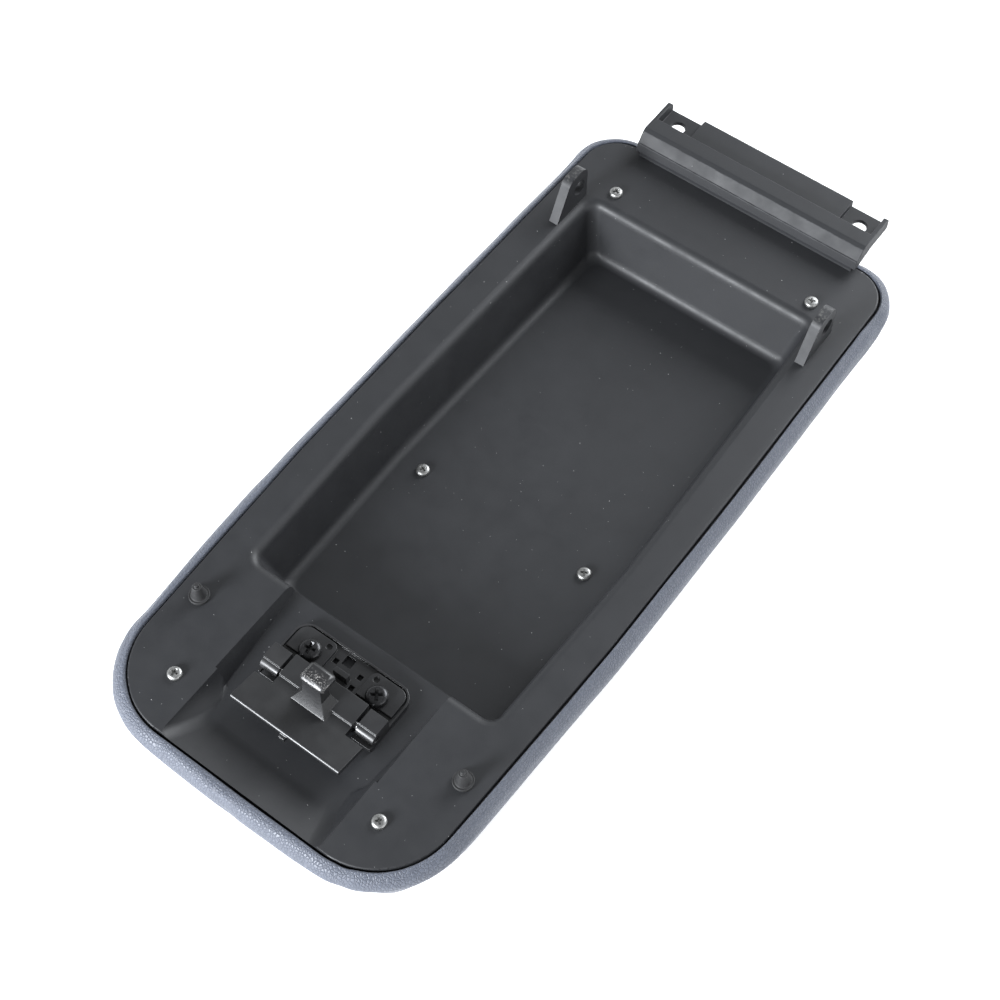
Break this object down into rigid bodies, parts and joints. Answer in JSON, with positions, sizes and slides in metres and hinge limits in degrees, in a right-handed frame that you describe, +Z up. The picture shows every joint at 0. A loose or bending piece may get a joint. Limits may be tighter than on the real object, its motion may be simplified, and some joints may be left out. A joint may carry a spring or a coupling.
{
  "type": "center console lid",
  "caption": "Padded armrest lid of a vehicle center console, lying on its soft top: moulded inner liner with a deep recess, hook latch with finger paddle, rubber stops and a film hinge bracket.",
  "frame": {"origin": "middle of the flat padded face that the lid rests on", "axes": "+X across the lid, +Y from the latch towards the hinge, +Z up out of the liner's inner side"},
  "size_m": [0.172, 0.3884, 0.064],
  "materials": {
    "liner": "charcoal, fine moulded texture",
    "leatherette": "blue-grey, fine grain",
    "foam": "charcoal open-cell foam",
    "board": "plain moulded",
    "zinc_steel": "zinc plated",
    "latch_black": "satin black",
    "lever_black": "gloss black, worn at the hook",
    "spring_steel": "plain drawn steel",
    "black_steel": "black plated",
    "stop_rubber": "soft matte"
  },
  "bodies": {
    "lid": {"inner_liner": "liner", "vinyl_cover": "leatherette", "foam_pad": "foam", "top_board": "board", "liner_screws": "zinc_steel", "latch_housing": "latch_black", "latch_pin": "spring_steel", "latch_spring": "spring_steel", "latch_screws": "black_steel", "bump_stop_left": "stop_rubber", "bump_stop_right": "stop_rubber", "hinge_film": "liner"},
    "lever": {"latch_lever": "lever_black"},
    "bracket": {"hinge_bracket": "liner"}
  },
  "joints": [
    {"name": "latch_pull", "type": "hinge", "parent": "lid", "child": "lever", "pos_m": [0, -0.1293, 0.041], "axis": [1, 0, 0], "range_deg": [0, 15], "stiffness_Nm_per_rad": 0.04, "springref_deg": -34.38, "deforming": ["latch_spring"]},
    {"name": "hinge_fold", "type": "hinge", "parent": "lid", "child": "bracket", "pos_m": [0, 0.1759, 0.0453], "axis": [1, 0, 0], "range_deg": [0, 90], "deforming": ["hinge_film"]}
  ]
}
